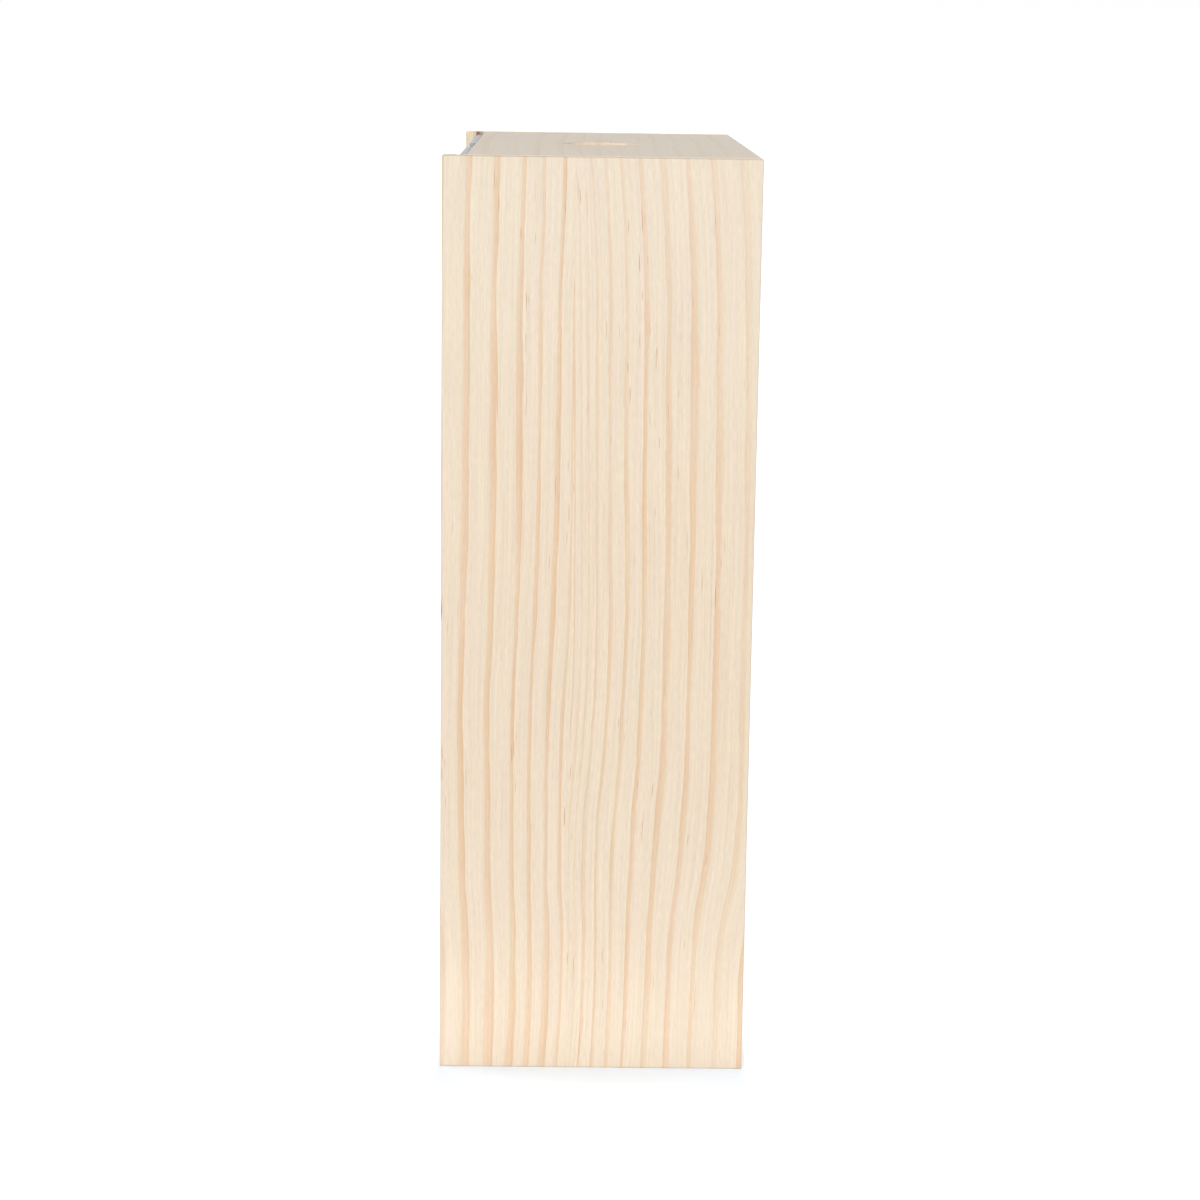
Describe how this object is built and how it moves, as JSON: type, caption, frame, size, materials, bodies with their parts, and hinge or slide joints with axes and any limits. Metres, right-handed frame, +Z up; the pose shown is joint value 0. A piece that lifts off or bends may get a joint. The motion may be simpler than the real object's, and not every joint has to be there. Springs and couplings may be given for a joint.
{
  "type": "cork storage box",
  "caption": "Tall pine box that stores wine corks, with a round drop hole in the top and a clear front pane that slides up out of grooves in the sides.",
  "frame": {"origin": "middle of the underside, on the surface that the box stands on", "axes": "+Z up, the front with the clear pane faces -Y, +X towards the right-hand side as seen from the front"},
  "size_m": [0.276, 0.134, 0.4],
  "materials": {
    "pine": "pale pine, sanded, thin matt clear coat",
    "plywood": "sanded birch-faced plywood",
    "beech": "plain turned beech",
    "clear_acrylic": "clear, polished faces and sawn edges",
    "steel": "bright drawn wire"
  },
  "bodies": {
    "box": {"right_side_front_stave": "pine", "right_side_rear_stave": "pine", "left_side_front_stave": "pine", "left_side_rear_stave": "pine", "top_front_stave": "pine", "top_rear_stave": "pine", "bottom_front_stave": "pine", "bottom_rear_stave": "pine", "back_panel": "plywood", "top_right_dowels": "beech", "top_left_dowels": "beech", "bottom_right_dowels": "beech", "bottom_left_dowels": "beech", "back_panel_pins": "steel"},
    "pane": {"front_pane": "clear_acrylic"}
  },
  "joints": [
    {"name": "pane_slide", "type": "slide", "parent": "box", "child": "pane", "axis": [0, 0, 1], "range_m": [0, 0.395]}
  ]
}
